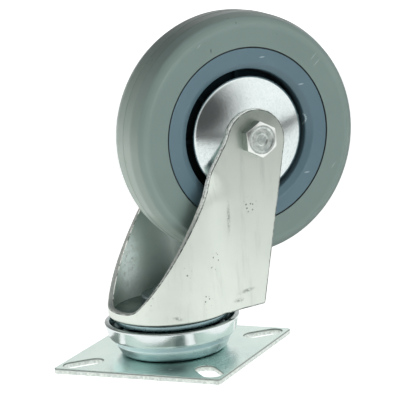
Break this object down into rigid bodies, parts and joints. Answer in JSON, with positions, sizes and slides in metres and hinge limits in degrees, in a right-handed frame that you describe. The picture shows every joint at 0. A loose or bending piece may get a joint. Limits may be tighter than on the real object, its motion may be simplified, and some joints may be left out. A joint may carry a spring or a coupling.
{
  "type": "swivel castor",
  "caption": "Swivel castor with a slotted top plate, pressed steel fork on a ball race, and a grey rubber wheel with a plastic centre on a bolted roller bearing axle.",
  "frame": {"origin": "centre of the top plate's mounting face, on the swivel axis", "axes": "+Z along the swivel axis from the mounting face towards the wheel, so the castor stands on its plate with the wheel uppermost, the other way up from its use under a load; +X and +Y along the plate's edges; the axle lies 43.3 mm from the swivel axis along the trail direction, 51 degrees from +X towards +Y"},
  "size_m": [0.1222, 0.1344, 0.1715],
  "materials": {
    "zinc_steel": "blue passivated zinc on pressed steel, satin",
    "bright_steel": "bright zinc on pressed steel",
    "bolt_steel": "zinc plated, slightly dull",
    "bearing_steel": "greased hardened steel",
    "grey_rubber": "moulded non-marking rubber, matte",
    "blue_grey_plastic": "moulded polypropylene, satin",
    "white_nylon": "nylon",
    "black_plastic": "moulded nylon cage"
  },
  "bodies": {
    "base": {"top_plate": "zinc_steel", "swivel_cup": "zinc_steel", "king_pin": "bolt_steel", "head_washer": "zinc_steel", "outer_balls": "bearing_steel", "inner_balls": "bearing_steel"},
    "fork": {"fork": "zinc_steel", "fork_race": "bearing_steel", "axle_bolt": "bolt_steel", "axle_nut": "bolt_steel", "nut_insert": "white_nylon", "axle_sleeve": "bolt_steel", "thread_guard_near": "bright_steel", "thread_guard_far": "bright_steel"},
    "wheel": {"tyre": "grey_rubber", "wheel_centre": "blue_grey_plastic", "bearing_bush": "bearing_steel", "roller_cage": "black_plastic", "bearing_rollers": "bearing_steel"}
  },
  "joints": [
    {"name": "swivel", "type": "hinge", "parent": "base", "child": "fork", "pos_m": [0, 0, 0.0227], "axis": [0, 0, 1], "continuous": true},
    {"name": "wheel_spin", "type": "hinge", "parent": "fork", "child": "wheel", "pos_m": [0.02725, 0.03365, 0.109], "axis": [-0.7771, 0.6293, 0], "continuous": true}
  ]
}
